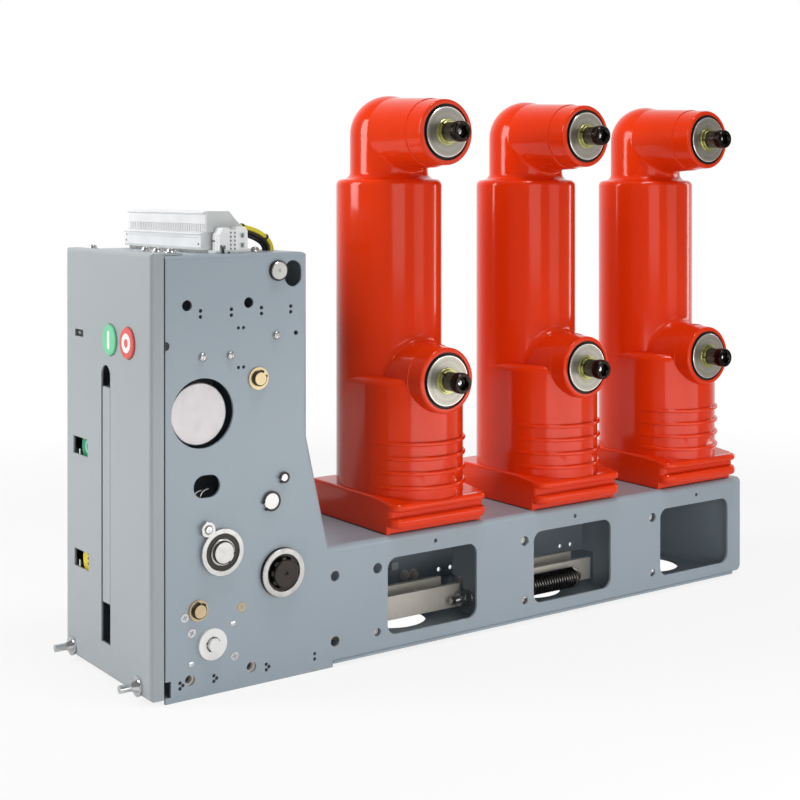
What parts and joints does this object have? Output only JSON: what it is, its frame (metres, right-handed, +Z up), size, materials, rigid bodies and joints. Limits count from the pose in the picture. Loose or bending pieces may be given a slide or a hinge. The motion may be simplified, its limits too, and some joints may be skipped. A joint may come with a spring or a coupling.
{
  "type": "vacuum circuit breaker",
  "caption": "Medium voltage vacuum circuit breaker with a spring mechanism housing at one end, a long hollow base and a row of cast resin poles with elbowed terminals.",
  "frame": {"origin": "centre of the underside of the mechanism housing's floor plate", "axes": "+X along the row of poles, away from the operator's cover; +Y from the terminal side to the rear; +Z up"},
  "size_m": [0.872, 0.257, 0.6161],
  "materials": {
    "black_plastic": "matt",
    "black_screw": "black oxide",
    "brass_pin": "passivated",
    "bright_steel": "zinc plated",
    "cable_sheath": "matt",
    "cast_resin": "gloss",
    "contact_silver": "turned",
    "cover_paint": "satin",
    "dark_steel": "oiled",
    "frame_paint": "satin",
    "green_plastic": "moulded",
    "grey_plastic": "moulded",
    "plain_steel": "plated",
    "red_plastic": "moulded",
    "white_plastic": "moulded",
    "yellow_plastic": "moulded"
  },
  "bodies": {
    "frame": {"base_top_plate": "frame_paint", "bay_brackets": "frame_paint", "bottom_pan": "frame_paint", "brass_pins": "brass_pin", "button_guide": "frame_paint", "charge_flag": "yellow_plastic", "charging_shaft": "bright_steel", "counter": "black_plastic", "cover_studs": "bright_steel", "front_cover": "cover_paint", "housing_back_plate": "frame_paint", "housing_floor": "frame_paint", "housing_top_plate": "frame_paint", "lever_shaft": "bright_steel", "link_bars_1": "plain_steel", "link_bars_2": "plain_steel", "lock_disc": "white_plastic", "lower_contact_1": "contact_silver", "lower_contact_2": "contact_silver", "lower_contact_3": "contact_silver", "lower_screw_1": "black_screw", "lower_screw_2": "black_screw", "lower_screw_3": "black_screw", "main_shaft": "dark_steel", "near_side_plate": "frame_paint", "opening_spring": "dark_steel", "pivot_pins": "bright_steel", "pole_1": "cast_resin", "pole_2": "cast_resin", "pole_3": "cast_resin", "rear_side_plate": "frame_paint", "shaft_bearings": "dark_steel", "spring_drum": "bright_steel", "state_flag": "green_plastic", "stop_screw": "bright_steel", "terminal_block": "white_plastic", "terminal_end_cap": "grey_plastic", "terminal_rail": "bright_steel", "upper_contact_1": "contact_silver", "upper_contact_2": "contact_silver", "upper_contact_3": "contact_silver", "upper_screw_1": "black_screw", "upper_screw_2": "black_screw", "upper_screw_3": "black_screw", "wire_harness": "cable_sheath"},
    "close_button_body": {"close_button": "green_plastic"},
    "open_button_body": {"open_button": "red_plastic"},
    "charging_lever_body": {"charging_lever": "cover_paint"}
  },
  "joints": [
    {"name": "close_button_press", "type": "slide", "parent": "frame", "child": "close_button_body", "axis": [1, 0, 0], "range_m": [0, 0.005], "stiffness_N_per_m": 900},
    {"name": "open_button_press", "type": "slide", "parent": "frame", "child": "open_button_body", "axis": [1, 0, 0], "range_m": [0, 0.005], "stiffness_N_per_m": 900},
    {"name": "charging_lever_swing", "type": "hinge", "parent": "frame", "child": "charging_lever_body", "pos_m": [-0.0929, 0.0008, 0.092], "axis": [0, -1, 0], "range_deg": [0, 85]}
  ]
}
